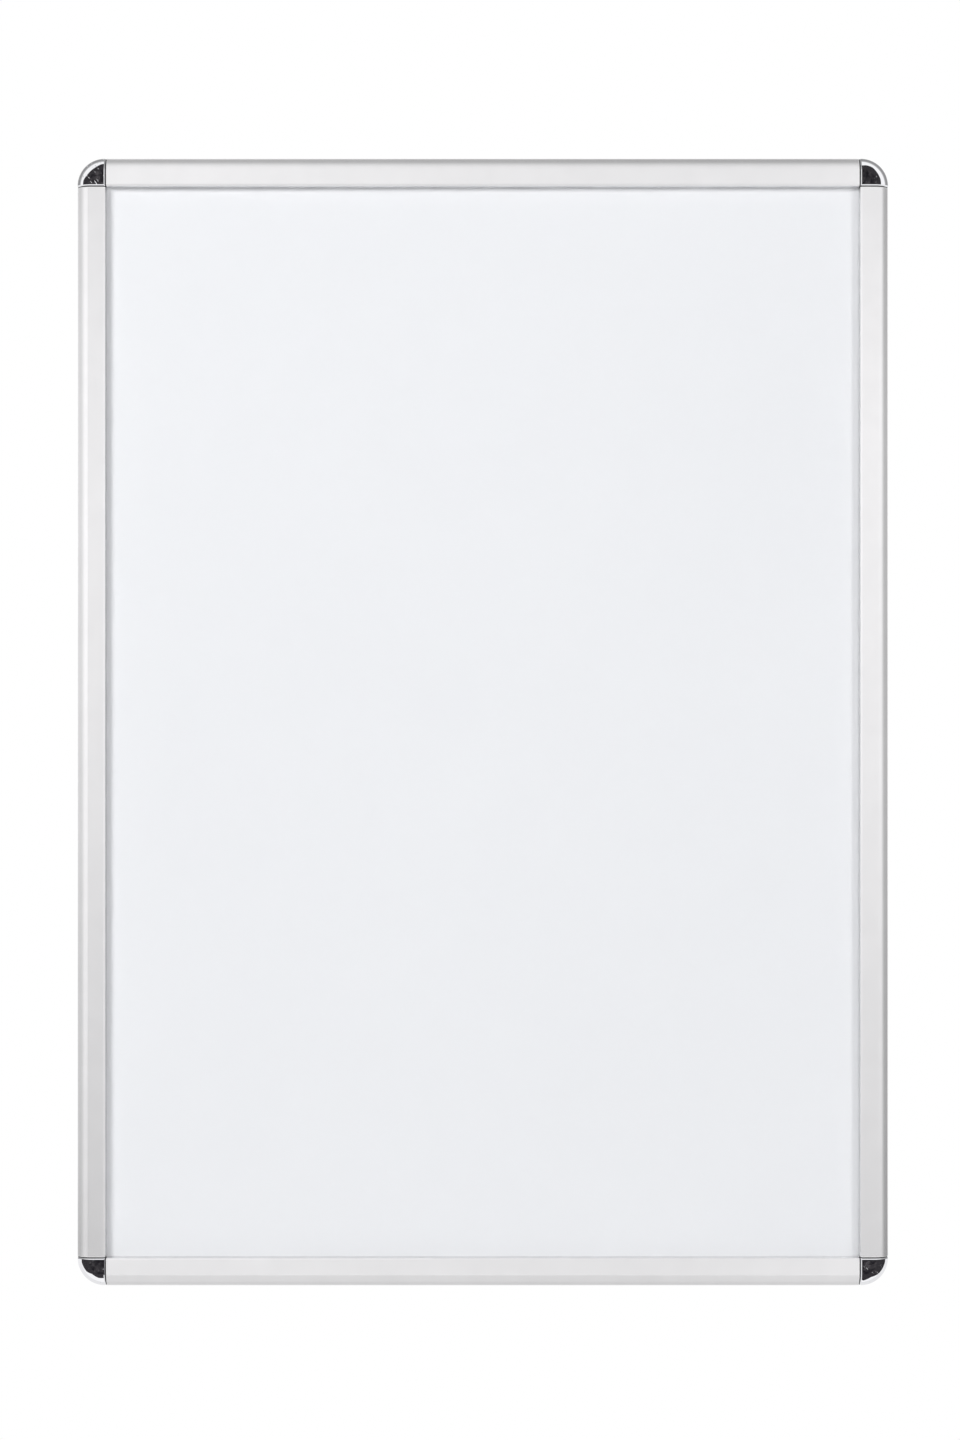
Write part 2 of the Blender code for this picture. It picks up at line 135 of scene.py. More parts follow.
UNPLATED_FACE = 1

# Edges that smooth shading keeps crisp, and the softened edges of CAD pieces.
CRISP_ANGLE = 40.0
FLAT_FACE_WEIGHT = 60
SOFT_EDGE = 0.00012
SOFT_EDGE_STEPS = 2
SOFT_EDGE_ANGLE = 50.0

# Camera: what the photograph shows of the frame, in pixels of a 960 by 1440 image.
CAMERA_DISTANCE = 2.87
PIXELS_HIGH = 1440
PIXELS_PER_METRE = 906.2
FRAME_RIGHT_OF_CENTRE = 2.8
FRAME_BELOW_CENTRE = 2.0
SENSOR = 36.0


def polar(centre, radius, degrees):
    angle = math.radians(degrees)
    return (centre[0] + radius * math.cos(angle), centre[1] + radius * math.sin(angle))


def arc(centre, radius, start, end, count):
    return [polar(centre, radius, start + (end - start) * i / count) for i in range(count + 1)]


def shoulder(inset, start, end, count):
    """Points on the rounded outer shoulder, moved in by a wall.

    The shoulder is an ellipse that stops short of its top at the crease.
    """
    rise = DEPTH - HINGE.y
    width = SHOULDER_WIDTH / (1.0 - math.cos(math.radians(CREASE_ANGLE)))
    height = rise / math.sin(math.radians(CREASE_ANGLE))
    points = []
    for i in range(count + 1):
        t = math.radians(start + (end - start) * i / count)
        points.append((width - (width - inset) * math.cos(t), HINGE.y + (height - inset) * math.sin(t)))
    return points


def flap_section():
    """Outline of a flap rail, from the claw over the front and back inside.

    Its u runs in from the frame's outer edge and its v off the wall.
    """
    under = DEPTH - FLAP_WALL
    lip = RAIL - 2 * LIP_ROUND
    sloped = math.degrees(math.atan2(LIP_SLOPE[0], LIP_SLOPE[1]))
    sharp_edge = Vector((RAIL - LIP_DRAFT, DEPTH - LIP_SLOPE[1]))
    edge = sharp_edge - Vector((1.0, math.sin(math.radians(sloped)))) * LIP_EDGE_ROUND
    half_tail = TAIL_WIDTH / 2
    along = Vector(polar((0, 0), 1.0, TAIL_ANGLE))
    across = Vector((-along.y, along.x))

    def on_tail(distance, offset):
        return tuple(HINGE + along * distance + across * offset)

    def claw_meets(degrees):
        return (Vector(shoulder(FLAP_WALL, degrees, degrees, 1)[0]) - HINGE).length > CLAW_OUTER

    meet_at = next(d / 10 for d in range(900) if claw_meets(d / 10))
    meet = Vector(shoulder(FLAP_WALL, meet_at, meet_at, 1)[0]) - HINGE
    meet_angle = math.degrees(math.atan2(meet.y, meet.x))
    root_angle = TAIL_ANGLE + math.degrees(math.asin(half_tail / CLAW_OUTER))
    facing = TAIL_ANGLE + 180.0
    notch = math.degrees(math.acos((TAIL_SEAT - TAIL_END) / TAIL_SEAT_RADIUS))
    inner_shoulder = shoulder(FLAP_WALL, CREASE_ANGLE, meet_at, SHOULDER_INNER_STEPS)
    inner_top = [point for point in inner_shoulder if point[1] < under]
    points = shoulder(0.0, CLAW_START, CREASE_ANGLE, SHOULDER_STEPS)
    lip_edge = arc(edge, LIP_EDGE_ROUND, sloped, 0.0, LIP_EDGE_STEPS)
    points += [(lip_edge[0][0] - LIP_SLOPE[0], DEPTH)] + lip_edge
    lip_centre = (RAIL - LIP_ROUND, COVER_FRONT + SEAT_GAP + LIP_ROUND)
    points += arc(lip_centre, LIP_ROUND, 0.0, -180.0, LIP_STEPS)
    fillet_centre = (lip - INNER_FILLET, under - INNER_FILLET)
    points += arc(fillet_centre, INNER_FILLET, 0.0, 90.0, FILLET_STEPS)
    points += inner_top
    points += arc(HINGE, CLAW_OUTER, meet_angle, root_angle, CLAW_OUTER_STEPS)[1:]
    points += [on_tail(TAIL_END, half_tail)]
    seat = on_tail(TAIL_SEAT, 0.0)
    points += arc(seat, TAIL_SEAT_RADIUS, facing - notch, facing + notch, TAIL_SEAT_STEPS)
    points += [on_tail(TAIL_END, -half_tail)]
    start = points[0]
    claw_end = math.degrees(math.atan2(start[1] - HINGE.y, start[0] - HINGE.x))
    claw_tail = TAIL_ANGLE - math.degrees(math.asin(half_tail / CLAW_RADIUS))
    points += arc(HINGE, CLAW_RADIUS, claw_tail, claw_end, CLAW_INNER_STEPS)
    return points


def drawn_in(points, amount):
    """The same closed outline moved inwards, for the small chamfer on a sawn end."""
    moved = []
    for i, here in enumerate(points):
        before = Vector(points[i - 1])
        after = Vector(points[(i + 1) % len(points)])
        run = (after - before).normalized()
        moved.append((here[0] + run.y * amount, here[1] - run.x * amount))
    return moved


def finish_mesh(name, work, matrix, material, sharp=CRISP_ANGLE):
    """Turns a bmesh into a shown piece with smooth shading that stays crisp at its edges."""
    bmesh.ops.recalc_face_normals(work, faces=work.faces)
    mesh = bpy.data.meshes.new(name)
    work.to_mesh(mesh)
    work.free()
    mesh.materials.append(material)
    mesh.shade_smooth()
    mesh.set_sharp_from_angle(angle=math.radians(sharp))
    thing = bpy.data.objects.new(name, mesh)
    thing.matrix_world = matrix
    bpy.context.scene.collection.objects.link(thing)
    return thing


def weigh_normals(thing):
    """Keeps wide flat faces flat where they run into a round."""
    weighted = thing.modifiers.new("flat_faces", "WEIGHTED_NORMAL")
    weighted.keep_sharp = True
    weighted.weight = FLAT_FACE_WEIGHT


def extruded(name, section, length, matrix, material):
    """A section drawn out along local Z, with chamfered ends."""
    half = length / 2
    square = half - RAIL_END_CHAMFER
    small = drawn_in(section, RAIL_END_DROP)
    stations = [(small, -half), (section, -square), (section, square), (small, half)]
    work = bmesh.new()
    rings = [[work.verts.new((u, v, z)) for u, v in outline] for outline, z in stations]
    count = len(section)
    for finish, low, high in zip((CUT_FACE, SATIN_FACE, CUT_FACE), rings, rings[1:]):
        for i in range(count):
            k = (i + 1) % count
            work.faces.new((low[i], low[k], high[k], high[i])).material_index = finish
    ends = [work.faces.new(rings[0]), work.faces.new(list(reversed(rings[-1])))]
    for end in ends:
        end.material_index = SAWN_FACE
    thing = finish_mesh(name, work, matrix, material, RAIL_SHARP)
    thing.data.materials.append(sawn_end_shaded)
    thing.data.materials.append(cut_edge)
    weigh_normals(thing)
    return thing


def new_material(name):
    material = bpy.data.materials.new(name)
    material.use_nodes = True
    tree = material.node_tree
    return material, tree, tree.nodes["Principled BSDF"]


def texture_space(tree, scale, turn=0.0, place=(0.0, 0.0, 0.0)):
    """Object coordinates moved, turned about Z and stretched.

    The scale of each axis is in features to the metre.
    """
    coordinates = tree.nodes.new("ShaderNodeTexCoord")
    mapping = tree.nodes.new("ShaderNodeMapping")
    mapping.vector_type = "TEXTURE"
    mapping.inputs["Location"].default_value = place
    mapping.inputs["Rotation"].default_value = (0.0, 0.0, math.radians(turn))
    mapping.inputs["Scale"].default_value = [1.0 / s for s in scale]
    tree.links.new(coordinates.outputs["Object"], mapping.inputs["Vector"])
    return mapping.outputs["Vector"]


def noise(tree, scale, detail=2.0, roughness=0.5, turn=0.0, place=(0.0, 0.0, 0.0)):
    texture = tree.nodes.new("ShaderNodeTexNoise")
    texture.inputs["Scale"].default_value = 1.0
    texture.inputs["Detail"].default_value = detail
    texture.inputs["Roughness"].default_value = roughness
    tree.links.new(texture_space(tree, scale, turn, place), texture.inputs["Vector"])
    return texture.outputs["Fac"]


def spread(tree, value, low, high, start=0.3, end=0.7):
    """Maps a noise value onto a range."""
    ranged = tree.nodes.new("ShaderNodeMapRange")
    ranged.inputs["From Min"].default_value = start
    ranged.inputs["From Max"].default_value = end
    ranged.inputs["To Min"].default_value = low
    ranged.inputs["To Max"].default_value = high
    tree.links.new(value, ranged.inputs["Value"])
    return ranged.outputs["Result"]


def tint(tree, value, dark, light):
    """Mixes two colours by a value."""
    mix = tree.nodes.new("ShaderNodeMix")
    mix.data_type = "RGBA"
    mix.inputs["A"].default_value = (*dark, 1.0)
    mix.inputs["B"].default_value = (*light, 1.0)
    tree.links.new(value, mix.inputs["Factor"])
    return mix.outputs["Result"]


def bump(tree, height, distance, strength=1.0, under=None):
    """Relief of a given height in metres, over another relief where there is one."""
    node = tree.nodes.new("ShaderNodeBump")
    node.inputs["Strength"].default_value = strength
    node.inputs["Distance"].default_value = distance
    tree.links.new(height, node.inputs["Height"])
    if under is not None:
        tree.links.new(under, node.inputs["Normal"])
    return node.outputs["Normal"]


def along_axis(axis, along, across):
    """A scale for each axis: one along the grain, and another across it."""
    return tuple(along if i == axis else across for i in range(3))


def even(scale):
    return (scale, scale, scale)


# Features to the metre of the lines in drawn metal, along and across them, and of its clouds.
FINE_LINES = (9.0, 3200.0)
BROAD_LINES = (2.0, 420.0)
METAL_CLOUDS = 28.0


def drawn_metal(name, axis, greys, roughness, line_depth, stretch=0.0):
    """Extruded or rolled metal: fine lines along one axis in its gloss and relief, and faint clouds."""
    material, tree, shader = new_material(name)
    fine = noise(tree, along_axis(axis, *FINE_LINES), 3.0, 0.6)
    broad = noise(tree, along_axis(axis, *BROAD_LINES), 2.0)
    cloud = noise(tree, even(METAL_CLOUDS), 3.0, 0.6)
    tree.links.new(tint(tree, spread(tree, cloud, 0.0, 1.0), *greys), shader.inputs["Base Color"])
    tree.links.new(spread(tree, fine, *roughness), shader.inputs["Roughness"])
    relief = bump(tree, broad, line_depth * 2.0, 0.5)
    tree.links.new(bump(tree, fine, line_depth, 0.6, relief), shader.inputs["Normal"])
    shader.inputs["Metallic"].default_value = 1.0
    shader.inputs["Anisotropic"].default_value = stretch
    return material


# Finishes: two colours to mix, scales in features to the metre, and heights in metres.
CHROME_COLOURS = ((0.89, 0.89, 0.92), (0.94, 0.94, 0.96))
CHROME_RIPPLES = 420.0
CHROME_RIPPLE_HEIGHT = 0.000006
CHROME_SHADES = 60.0
SCUFF_SCALE = (110.0, 620.0, 620.0)
SCUFF_TURN = 45.0
SCUFF_ROUGHNESS = 0.12
SCUFF_EDGE = 0.08


def chrome(name, wear_place, wear_limit):
    """Bright plating over a moulded shell.

    It is a mirror with a slight ripple, and a few dulled scuffs where it is worn.
    """
    material, tree, shader = new_material(name)
    ripple = noise(tree, even(CHROME_RIPPLES), 1.0)
    wear = noise(tree, SCUFF_SCALE, 2.0, 0.5, SCUFF_TURN, wear_place)
    dull = spread(tree, wear, 0.0, SCUFF_ROUGHNESS, wear_limit, wear_limit + SCUFF_EDGE)
    shade = noise(tree, even(CHROME_SHADES), 2.0)
    tree.links.new(tint(tree, shade, *CHROME_COLOURS), shader.inputs["Base Color"])
    tree.links.new(dull, shader.inputs["Roughness"])
    tree.links.new(bump(tree, ripple, CHROME_RIPPLE_HEIGHT), shader.inputs["Normal"])
    shader.inputs["Metallic"].default_value = 1.0
    return material


MOULDING_COLOURS = ((0.016, 0.016, 0.018), (0.030, 0.030, 0.033))
MOULDING_ROUGHNESS = (0.48, 0.62)
MOULDING_GRAIN = 1600.0
MOULDING_GRAIN_HEIGHT = 0.00003
MOULDING_SPECULAR = 0.25


def bare_moulding():
    """Unplated plastic on the inside and the joint faces of a cap: dark, with a fine moulded grain."""
    material, tree, shader = new_material("bare_moulding")
    grain = noise(tree, even(MOULDING_GRAIN), 3.0)
    tree.links.new(tint(tree, grain, *MOULDING_COLOURS), shader.inputs["Base Color"])
    tree.links.new(spread(tree, grain, *MOULDING_ROUGHNESS), shader.inputs["Roughness"])
    tree.links.new(bump(tree, grain, MOULDING_GRAIN_HEIGHT, 0.5), shader.inputs["Normal"])
    shader.inputs["Specular IOR Level"].default_value = MOULDING_SPECULAR
    return material


ZINC_COLOURS = ((0.54, 0.55, 0.57), (0.68, 0.69, 0.70))
ZINC_ROUGHNESS = (0.28, 0.42)
ZINC_CRYSTALS = 420.0
ZINC_GRAIN = 1800.0
ZINC_GRAIN_HEIGHT = 0.00001


def zinc_plate():
    """Bright zinc: a soft crystal patchwork of slightly different greys."""
    material, tree, shader = new_material("zinc_steel")
    cells = tree.nodes.new("ShaderNodeTexVoronoi")
    cells.inputs["Scale"].default_value = 1.0
    tree.links.new(texture_space(tree, even(ZINC_CRYSTALS)), cells.inputs["Vector"])
    patch = spread(tree, cells.outputs["Color"], 0.0, 1.0, 0.0, 1.0)
    tree.links.new(tint(tree, patch, *ZINC_COLOURS), shader.inputs["Base Color"])
    tree.links.new(spread(tree, patch, *ZINC_ROUGHNESS, 0.0, 1.0), shader.inputs["Roughness"])
    grain = noise(tree, even(ZINC_GRAIN))
    tree.links.new(bump(tree, grain, ZINC_GRAIN_HEIGHT), shader.inputs["Normal"])
    shader.inputs["Metallic"].default_value = 1.0
    return material


SHEET_WHITES = ((0.868, 0.873, 0.885), (0.884, 0.889, 0.899))
SHEET_ROUGHNESS = (0.5, 0.6)
SHEET_CLOUDS = 5.0
SHEET_GRAIN = 1400.0
SHEET_GRAIN_HEIGHT = 0.00002


def white_plastic():
    """Matt white sheet: a faint cloudiness and a fine calendered grain."""
    material, tree, shader = new_material("white_plastic")
    cloud = noise(tree, even(SHEET_CLOUDS), 3.0)
    grain = noise(tree, even(SHEET_GRAIN), 2.0)
    tree.links.new(tint(tree, cloud, *SHEET_WHITES), shader.inputs["Base Color"])
    tree.links.new(spread(tree, grain, *SHEET_ROUGHNESS), shader.inputs["Roughness"])
    tree.links.new(bump(tree, grain, SHEET_GRAIN_HEIGHT, 0.4), shader.inputs["Normal"])
    return material


FILM_COLOURS = ((0.90, 0.91, 0.94), (0.94, 0.95, 0.97))
FILM_ROUGHNESS = (0.22, 0.32)
FILM_GRAIN = 2600.0
FILM_GRAIN_HEIGHT = 0.000008
FILM_SWEEPS = 7.0
FILM_ALPHA = 0.05


def clear_plastic():
    """Clear anti-glare film: nearly all seen through, with a soft broken sheen."""
    material, tree, shader = new_material("clear_plastic")
    grain = noise(tree, even(FILM_GRAIN), 2.0)
    sweep = noise(tree, even(FILM_SWEEPS), 2.0)
    tree.links.new(tint(tree, sweep, *FILM_COLOURS), shader.inputs["Base Color"])
    tree.links.new(spread(tree, grain, *FILM_ROUGHNESS), shader.inputs["Roughness"])
    tree.links.new(bump(tree, grain, FILM_GRAIN_HEIGHT, 0.5), shader.inputs["Normal"])
    shader.inputs["Alpha"].default_value = FILM_ALPHA
    return material


# Drawn metals: the darkest and lightest grey, the smoothest and roughest gloss, and the depth of the lines.
# The level and upright rails share one satin finish, given here as lit and shaded copies: the upright rails'
# greys are darker, as painted shade, and the level rails' greys are lighter, as painted light.
LEVEL_LIT_GREYS = ((0.834, 0.828, 0.838), (0.864, 0.858, 0.868))
UPRIGHT_SHADED_GREYS = ((0.796, 0.789, 0.799), (0.826, 0.819, 0.829))
SATIN_ROUGHNESS = (0.22, 0.26)
SATIN_LINES = 0.000005
SATIN_STRETCH = 0.7
CUT_GREYS = (even(0.95), even(0.98))
CUT_ROUGHNESS = (0.45, 0.55)
CUT_LINES = 0.00001
MILL_GREYS = ((0.66, 0.67, 0.68), (0.74, 0.75, 0.76))
MILL_ROUGHNESS = (0.30, 0.48)
MILL_LINES = 0.00003
STEEL_GREYS = ((0.48, 0.50, 0.54), (0.58, 0.59, 0.61))
STEEL_ROUGHNESS = (0.18, 0.34)
STEEL_LINES = 0.00001
# The sawn rail ends are painted dark grey as painted shade for the joint gaps between rails and caps; their
# saw lines are real.
SAWN_SHADED_GREYS = ((0.30, 0.30, 0.31), (0.42, 0.42, 0.43))
SAWN_ROUGHNESS = (0.45, 0.62)
SAWN_LINES = 0.00003

satin = (SATIN_ROUGHNESS, SATIN_LINES, SATIN_STRETCH)
# Painted light and shade: the level rails take the lighter copy of the satin finish and the upright rails
# the darker copy.
satin_level_lit = drawn_metal("satin_aluminium_level_painted_light", Z_AXIS, LEVEL_LIT_GREYS, *satin)
satin_upright_shaded = drawn_metal("satin_aluminium_upright_painted_shade", Z_AXIS, UPRIGHT_SHADED_GREYS, *satin)
cut_edge = drawn_metal("cut_aluminium", X_AXIS, CUT_GREYS, CUT_ROUGHNESS, CUT_LINES)
mill_x = drawn_metal("mill_aluminium_x", X_AXIS, MILL_GREYS, MILL_ROUGHNESS, MILL_LINES)
mill_z = drawn_metal("mill_aluminium_z", Z_AXIS, MILL_GREYS, MILL_ROUGHNESS, MILL_LINES)
steel_x = drawn_metal("spring_steel_x", X_AXIS, STEEL_GREYS, STEEL_ROUGHNESS, STEEL_LINES)
steel_z = drawn_metal("spring_steel_z", Z_AXIS, STEEL_GREYS, STEEL_ROUGHNESS, STEEL_LINES)
# Painted shade: the rail ends are given a darkened aluminium so that the joints beside the caps read dark.
sawn_end_shaded = drawn_metal("sawn_aluminium_painted_shade", X_AXIS, SAWN_SHADED_GREYS, SAWN_ROUGHNESS, SAWN_LINES)
moulding = bare_moulding()
zinc = zinc_plate()
white_sheet = white_plastic()
clear_film = clear_plastic()


def placed(x_axis, y_axis, z_axis, origin):
    matrix = Matrix((x_axis, y_axis, z_axis)).transposed().to_4x4()
    matrix.translation = Vector(origin)
    return matrix


def dress(node, material):
    """Gives a CAD node that keeps its shape its finish and softened edges."""
    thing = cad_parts[node]
    thing.data.materials.clear()
    thing.data.materials.append(material)
    edge = thing.modifiers.new("soft_edges", "BEVEL")
    edge.width = SOFT_EDGE
    edge.segments = SOFT_EDGE_STEPS
    edge.limit_method = "ANGLE"
    edge.angle_limit = math.radians(SOFT_EDGE_ANGLE)
    edge.harden_normals = True


# Each side: the way in, a point on the outer edge, the rail's length and its metals.
SIDES = [
    ("top", (0, 0, -1), (0, 0, HALF_HEIGHT), TOP_LENGTH, satin_level_lit, mill_x, steel_x),
    ("bottom", (0, 0, 1), (0, 0, -HALF_HEIGHT), TOP_LENGTH, satin_level_lit, mill_x, steel_x),
    ("left", (1, 0, 0), (-HALF_WIDTH, 0, 0), SIDE_LENGTH, satin_upright_shaded, mill_z, steel_z),
    ("right", (-1, 0, 0), (HALF_WIDTH, 0, 0), SIDE_LENGTH, satin_upright_shaded, mill_z, steel_z),
]

for side, inward, edge, length, finish, mill, steel in SIDES:
    along = Vector(inward).cross(FORWARD)
    where = placed(inward, FORWARD, along, edge)
    flap = extruded("flap_" + side, flap_section(), length, where, finish)
    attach(flap, "flap_" + side)
    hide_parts("flap_rail_" + side)
    dress("base_rail_" + side, mill)
    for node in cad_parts:
        if node.startswith("spring_" + side):
            dress(node, steel)


def quarter_turn(name, profile, angles, matrix, material):
    """A closed profile of (radius, height) points swept round local Z through a list of angles."""
    work = bmesh.new()
    columns = []
    centre = {}
    for degrees in angles:
        column = []
        for r, z in profile:
            if r == 0.0:
                if z not in centre:
                    centre[z] = work.verts.new((0.0, 0.0, z))
                column.append(centre[z])
            else:
                x, y = polar((0.0, 0.0), r, degrees)
                column.append(work.verts.new((x, y, z)))
        columns.append(column)
    for a, b in zip(columns, columns[1:]):
        for i in range(len(profile)):
            k = (i + 1) % len(profile)
            ring = list(dict.fromkeys((a[i], b[i], b[k], a[k])))
            if len(ring) > 2:
                work.faces.new(ring)
    work.faces.new(list(reversed(columns[0])))
    work.faces.new(columns[-1])
    return finish_mesh(name, work, matrix, material)


def cylinder(name, radius, low, high, matrix, sides):
    work = bmesh.new()
    middle = Matrix.Translation((0.0, 0.0, (low + high) / 2))
    bmesh.ops.create_cone(
        work, cap_ends=True, segments=sides, radius1=radius, radius2=radius, depth=high - low, matrix=middle
    )
    return finish_mesh(name, work, matrix, moulding)


def combine(thing, tool, operation):
    """Cuts or joins a solid with a tool, which is then removed."""
    boolean = thing.modifiers.new(tool.name, "BOOLEAN")
    boolean.operation = operation
    boolean.solver = "EXACT"
    boolean.material_mode = "TRANSFER"
    boolean.object = tool
    apply_modifiers(thing)
    bpy.data.objects.remove(tool, do_unlink=True)


def apply_modifiers(thing):
    shown = thing.evaluated_get(bpy.context.evaluated_depsgraph_get())
    mesh = bpy.data.meshes.new_from_object(shown)
    thing.modifiers.clear()
    thing.data = mesh


def even_angles(count, first):
    """Angles over a quarter turn, with wider first and last steps that leave room for the edge round."""
    inner = [first + (90.0 - 2 * first) * i / count for i in range(count + 1)]
    return [0.0] + inner + [90.0]


def cap_shell(name, matrix, plating):
    """The cap's outside: the rails' section turned about the inner corner.

    A sloped edge runs along both joints, and a short tongue reaches into each of them.
    """
    turn = CAP_RADIUS - CAP_EDGE
    rise = [(turn - u, v) for u, v in shoulder(0.0, CREASE_ANGLE, 0.0, CAP_SHOULDER_STEPS)]
    profile = [(0.0, DEPTH)] + rise + [(turn, 0.0)]
    sunk = [(0.0, DEPTH - CAP_EDGE_DROP)]
    for before, here, after in zip(profile, profile[1:], profile[2:]):
        run = (Vector(after) - Vector(before)).normalized()
        drop = CAP_EDGE_DROP * (CAP_EDGE_AT_RIM + (1.0 - CAP_EDGE_AT_RIM) * run.x)
        sunk.append((here[0] + run.y * drop, here[1] - run.x * drop))
    sunk.append((sunk[-1][0], 0.0))
    work = bmesh.new()
    crown = work.verts.new((CAP_EDGE, CAP_EDGE, DEPTH))
    columns = [[work.verts.new((CAP_EDGE + r, CAP_SIDE, z)) for r, z in sunk]]
    for i in range(CAP_TURN_STEPS + 1):
        cos, sin = polar((0.0, 0.0), 1.0, 90.0 * i / CAP_TURN_STEPS)
        ring = [work.verts.new((CAP_EDGE + r * cos, CAP_EDGE + r * sin, z)) for r, z in profile[1:]]
        columns.append([crown] + ring)
    columns.append([work.verts.new((CAP_SIDE, CAP_EDGE + r, z)) for r, z in sunk])
    for a, b in zip(columns, columns[1:]):
        for i in range(len(profile) - 1):
            work.faces.new(list(dict.fromkeys((a[i], b[i], b[i + 1], a[i + 1]))))
    corner = work.verts.new((CAP_SIDE, CAP_SIDE, DEPTH - CAP_EDGE_DROP))
    foot = work.verts.new((CAP_SIDE, CAP_SIDE, 0.0))
    work.faces.new((crown, columns[0][0], corner))
    work.faces.new((crown, corner, columns[-1][0]))
    bare = [work.faces.new([foot, corner] + columns[0])]
    bare.append(work.faces.new([foot] + list(reversed(columns[-1])) + [corner]))
    bare.append(work.faces.new([foot] + [column[-1] for column in columns]))
    for face in bare:
        face.material_index = UNPLATED_FACE
    bmesh.ops.recalc_face_normals(work, faces=work.faces)
    bmesh.ops.inset_individual(
        work, faces=bare[:2], thickness=TONGUE_DROP, depth=TONGUE_REACH, use_even_offset=True
    )
    shell = finish_mesh(name, work, matrix, plating, CAP_SHARP)
    shell.data.materials.append(moulding)
    return shell


def corner_cap(name, matrix, plating):
    """The chrome quarter-round: hollow, open behind, with a screw boss."""
    cap = cap_shell(name, matrix, plating)
    inner = CAP_RADIUS - CAP_END_WALL
    low = COVER_FRONT - CUT_OVERRUN
    hollow_shoulder = shoulder(CAP_WALL, CREASE_ANGLE, 0.0, HOLLOW_SHOULDER_STEPS)
    hollow_rise = [(inner - u, v) for u, v in hollow_shoulder]
    hollow = [(0.0, hollow_rise[0][1])] + hollow_rise + [(hollow_rise[-1][0], low), (0.0, low)]
    inset = matrix @ Matrix.Translation((CAP_END_WALL, CAP_END_WALL, 0.0))
    angles = even_angles(HOLLOW_TURN_STEPS, HOLLOW_FIRST_STEP)
    cavity = quarter_turn("cavity", hollow, angles, inset, moulding)
    combine(cap, cavity, "DIFFERENCE")
    back_radius = CAP_RADIUS - CAP_WALL
    back = cylinder("open_back", back_radius, -CUT_OVERRUN, COVER_FRONT + SEAT_GAP, matrix, BACK_SIDES)
    combine(cap, back, "DIFFERENCE")
    boss_place = matrix @ Matrix.Translation((BOSS_AT, BOSS_AT, 0.0))
    boss = cylinder("boss", BOSS_RADIUS, BOSS_FOOT, DEPTH - CAP_WALL / 2, boss_place, BOSS_SIDES)
    combine(cap, boss, "UNION")
    bore = cylinder("bore", BORE_RADIUS, BOSS_FOOT - SEAT_GAP, BORE_END, boss_place, BOSS_SIDES)
    combine(cap, bore, "DIFFERENCE")
    cap.data.shade_smooth()
    cap.data.set_sharp_from_angle(angle=math.radians(CAP_SHARP))
    weigh_normals(cap)
    return cap


# Each corner: its two rails' directions, the signs of x and z, and where its plating is worn and how little.
CORNERS = [
    ("top_right", (1, 0, 0), (0, 0, 1), 1, 1, (0.31, 0.0, 0.0), 0.72),
    ("top_left", (0, 0, 1), (-1, 0, 0), -1, 1, (0.12, 0.0, 0.0), 0.64),
    ("bottom_left", (-1, 0, 0), (0, 0, -1), -1, -1, (0.53, 0.0, 0.0), 0.71),
    ("bottom_right", (0, 0, -1), (1, 0, 0), 1, -1, (0.74, 0.0, 0.0), 0.70),
]

for corner, p_axis, q_axis, x_sign, z_sign, wear_place, wear_limit in CORNERS:
    apex = (x_sign * (HALF_WIDTH - CAP_RADIUS), 0.0, z_sign * (HALF_HEIGHT - CAP_RADIUS))
    plating = chrome("chrome_" + corner, wear_place, wear_limit)
    cap = corner_cap("cap_" + corner, placed(p_axis, q_axis, FORWARD, apex), plating)
    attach(cap, "frame")
    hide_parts("corner_cap_" + corner)
    dress("corner_key_" + corner, zinc)
    dress("cap_screw_" + corner, zinc)
    for number in ("_1", "_2"):
        dress("set_screw_" + corner + number, zinc)

dress("back_panel", white_sheet)
dress("cover_sheet", clear_film)


# Studio: floor, lamps, surroundings and the camera.
FLOOR_HEIGHT = -1.5
FLOOR_RADIUS = 1.38
FLOOR_SIDES = 96
FLOOR_GREYS = (even(0.80), even(0.84))
FLOOR_CLOUDS = 3.0
FLOOR_ROUGHNESS = 0.8
FLOOR_LIFT = 0.35
AMBIENT = 0.15
AMBIENT_COLOUR = (0.92, 0.97, 1.08, 1.0)
KEY_PLACE = (-3.1, -4.0, 2.1)
KEY_POWER = 173.0
KEY_SIZE = (1.9, 1.2)
FILL_PLACE = (3.83, -4.27, 0.72)
FILL_POWER = 86.0
FILL_SIZE = (1.2, 1.2)
FRONT_PLACE = (0.46, -4.0, 0.2)
FRONT_POWER = 35.0
FRONT_SIZE = (2.0, 1.2)
BACK_PLACE = (0.0, 5.0, 1.6)
BACK_POWER = 230.0
BACK_SIZE = (3.0, 2.0)

# Levels of the studio walls as satin metal reflects them, along the direction's x, z and y,
# with a shade low on the left and darker corners.
TONE_LIMIT = 1.6
TONE_ACROSS = [
    (-1.0, 0.96), (-0.93, 0.74), (-0.84, 0.87), (-0.74, 1.16), (-0.60, 1.23), (-0.46, 1.21), (-0.36, 0.37),
    (-0.24, 0.90), (-0.14, 1.115), (-0.06, 1.02), (0.0, 0.97), (0.10, 0.91), (0.25, 1.11), (0.50, 0.93),
    (0.74, 1.19), (0.82, 0.85), (0.88, 0.44), (0.95, 0.54), (1.0, 0.62),
]
TONE_UP = [
    (-1.0, 0.90), (-0.70, 0.86), (-0.50, 0.80), (-0.38, 1.33), (-0.30, 1.57), (-0.24, 0.41), (-0.17, 0.96),
    (-0.10, 0.91), (-0.04, 1.07), (0.02, 1.08), (0.10, 1.18), (0.20, 1.03), (0.30, 0.86), (0.45, 1.05),
    (0.70, 1.0), (0.85, 0.73), (0.95, 0.46), (1.0, 0.64),
]
TONE_BACK = [(-1.0, 1.0), (-0.36, 1.0), (-0.10, 0.83), (0.15, 0.89), (0.40, 1.0), (1.0, 1.0)]
LOW_LEFT_DEPTH = 0.088
